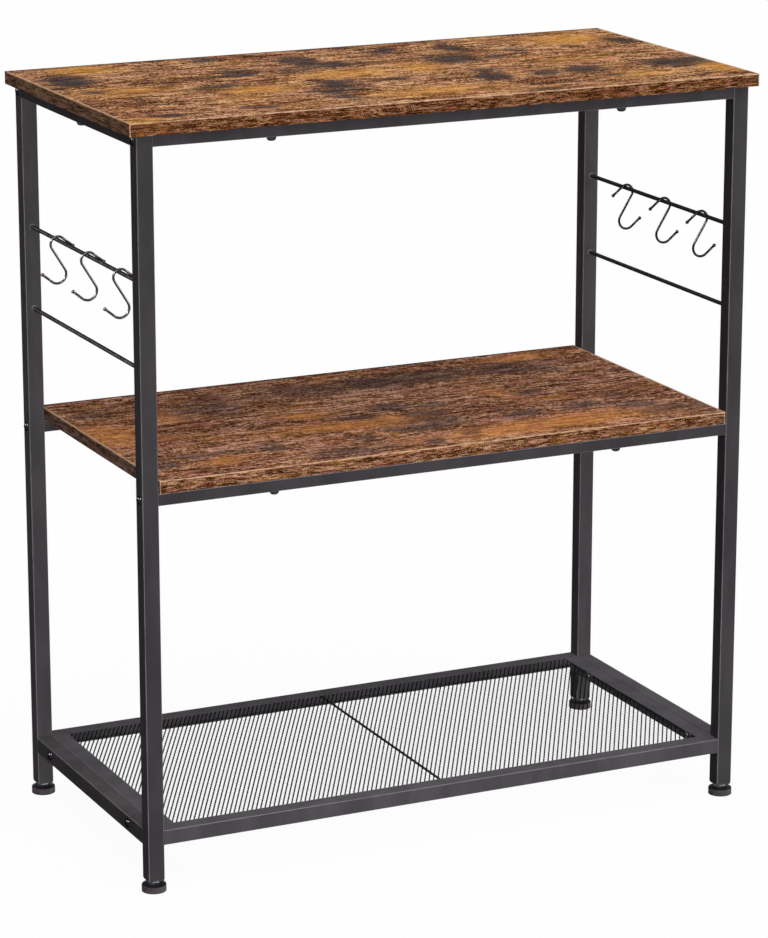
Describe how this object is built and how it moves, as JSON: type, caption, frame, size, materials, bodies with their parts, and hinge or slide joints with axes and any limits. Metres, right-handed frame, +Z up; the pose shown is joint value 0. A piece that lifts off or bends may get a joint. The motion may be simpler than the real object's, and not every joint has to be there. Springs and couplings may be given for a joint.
{
  "type": "kitchen shelving unit",
  "caption": "Free-standing three-tier kitchen shelf: black tube frame, two wood-grain boards, a bottom mesh shelf, side rods with swinging S-hooks and screw-in levelling feet.",
  "frame": {"origin": "on the floor, under the middle of the unit", "axes": "+X to the right along the shelves, +Y to the back, +Z up"},
  "size_m": [0.8042, 0.4, 0.905],
  "materials": {
    "black_paint": "satin black powder coat, fine texture",
    "brown_board": "rustic brown wood-grain foil on particle board, matt",
    "brown_edging": "wood-grain edge strip, matt",
    "black_bolt": "black oxide, semi-gloss",
    "black_wire": "gloss black coating",
    "zinc_steel": "zinc plated",
    "black_plastic": "moulded black plastic"
  },
  "bodies": {
    "frame": {"leg_front_left": "black_paint", "foot_insert_front_left": "black_plastic", "leg_back_left": "black_paint", "foot_insert_back_left": "black_plastic", "leg_front_right": "black_paint", "foot_insert_front_right": "black_plastic", "leg_back_right": "black_paint", "foot_insert_back_right": "black_plastic", "top_side_rail_left": "black_paint", "bottom_side_rail_left": "black_paint", "upper_rod_left": "black_paint", "lower_rod_left": "black_paint", "mesh_frame_left": "black_paint", "top_side_rail_right": "black_paint", "bottom_side_rail_right": "black_paint", "upper_rod_right": "black_paint", "lower_rod_right": "black_paint", "mesh_frame_right": "black_paint", "top_board": "brown_board", "top_edging": "brown_edging", "top_board_screws": "black_bolt", "top_rail_front": "black_paint", "top_rail_back": "black_paint", "middle_board": "brown_board", "middle_edging": "brown_edging", "middle_board_screws": "black_bolt", "middle_rail_front": "black_paint", "middle_rail_back": "black_paint", "mesh_frame_front": "black_paint", "mesh_frame_back": "black_paint", "mesh_sheet": "black_paint", "mesh_support_wire": "black_paint", "rail_end_inserts": "zinc_steel", "frame_bolts": "black_bolt", "shelf_bolts": "black_bolt", "shelf_nuts": "zinc_steel"},
    "hook_left_1": {"hook_left_1": "black_wire"},
    "hook_left_2": {"hook_left_2": "black_wire"},
    "hook_left_3": {"hook_left_3": "black_wire"},
    "hook_right_1": {"hook_right_1": "black_wire"},
    "hook_right_2": {"hook_right_2": "black_wire"},
    "hook_right_3": {"hook_right_3": "black_wire"},
    "foot_pad_front_left": {"foot_pad_front_left": "black_plastic"},
    "foot_stud_front_left": {"foot_stud_front_left": "zinc_steel"},
    "foot_pad_back_left": {"foot_pad_back_left": "black_plastic"},
    "foot_stud_back_left": {"foot_stud_back_left": "zinc_steel"},
    "foot_pad_front_right": {"foot_pad_front_right": "black_plastic"},
    "foot_stud_front_right": {"foot_stud_front_right": "zinc_steel"},
    "foot_pad_back_right": {"foot_pad_back_right": "black_plastic"},
    "foot_stud_back_right": {"foot_stud_back_right": "zinc_steel"}
  },
  "joints": [
    {"name": "hook_left_1_swing", "type": "hinge", "parent": "frame", "child": "hook_left_1", "pos_m": [-0.38, 0.087, 0.7153], "axis": [0, 1, 0], "range_deg": [-25, 25]},
    {"name": "hook_left_2_swing", "type": "hinge", "parent": "frame", "child": "hook_left_2", "pos_m": [-0.38, -0.013, 0.7153], "axis": [0, 1, 0], "range_deg": [-25, 25]},
    {"name": "hook_left_3_swing", "type": "hinge", "parent": "frame", "child": "hook_left_3", "pos_m": [-0.38, -0.114, 0.7153], "axis": [0, 1, 0], "range_deg": [-25, 25]},
    {"name": "hook_right_1_swing", "type": "hinge", "parent": "frame", "child": "hook_right_1", "pos_m": [0.38, 0.081, 0.7153], "axis": [0, -1, 0], "range_deg": [-25, 25]},
    {"name": "hook_right_2_swing", "type": "hinge", "parent": "frame", "child": "hook_right_2", "pos_m": [0.38, -0.014, 0.7153], "axis": [0, -1, 0], "range_deg": [-25, 25]},
    {"name": "hook_right_3_swing", "type": "hinge", "parent": "frame", "child": "hook_right_3", "pos_m": [0.38, -0.105, 0.7153], "axis": [0, -1, 0], "range_deg": [-25, 25]},
    {"name": "foot_front_left_height", "type": "slide", "parent": "frame", "child": "foot_pad_front_left", "axis": [0, 0, -1], "range_m": [0, 0.008]},
    {"name": "foot_front_left_turn", "type": "hinge", "parent": "foot_pad_front_left", "child": "foot_stud_front_left", "pos_m": [-0.38, -0.1835, 0.01], "axis": [0, 0, 1], "range_deg": [0, 2304.5]},
    {"name": "foot_back_left_height", "type": "slide", "parent": "frame", "child": "foot_pad_back_left", "axis": [0, 0, -1], "range_m": [0, 0.008]},
    {"name": "foot_back_left_turn", "type": "hinge", "parent": "foot_pad_back_left", "child": "foot_stud_back_left", "pos_m": [-0.38, 0.1835, 0.01], "axis": [0, 0, 1], "range_deg": [0, 2304.5]},
    {"name": "foot_front_right_height", "type": "slide", "parent": "frame", "child": "foot_pad_front_right", "axis": [0, 0, -1], "range_m": [0, 0.008]},
    {"name": "foot_front_right_turn", "type": "hinge", "parent": "foot_pad_front_right", "child": "foot_stud_front_right", "pos_m": [0.38, -0.1835, 0.01], "axis": [0, 0, 1], "range_deg": [0, 2304.5]},
    {"name": "foot_back_right_height", "type": "slide", "parent": "frame", "child": "foot_pad_back_right", "axis": [0, 0, -1], "range_m": [0, 0.008]},
    {"name": "foot_back_right_turn", "type": "hinge", "parent": "foot_pad_back_right", "child": "foot_stud_back_right", "pos_m": [0.38, 0.1835, 0.01], "axis": [0, 0, 1], "range_deg": [0, 2304.5]}
  ],
  "couplings": [
    {"joint": "foot_front_left_turn", "follows": "foot_front_left_height", "rad_per_m": 5026.5},
    {"joint": "foot_back_left_turn", "follows": "foot_back_left_height", "rad_per_m": 5026.5},
    {"joint": "foot_front_right_turn", "follows": "foot_front_right_height", "rad_per_m": 5026.5},
    {"joint": "foot_back_right_turn", "follows": "foot_back_right_height", "rad_per_m": 5026.5}
  ]
}
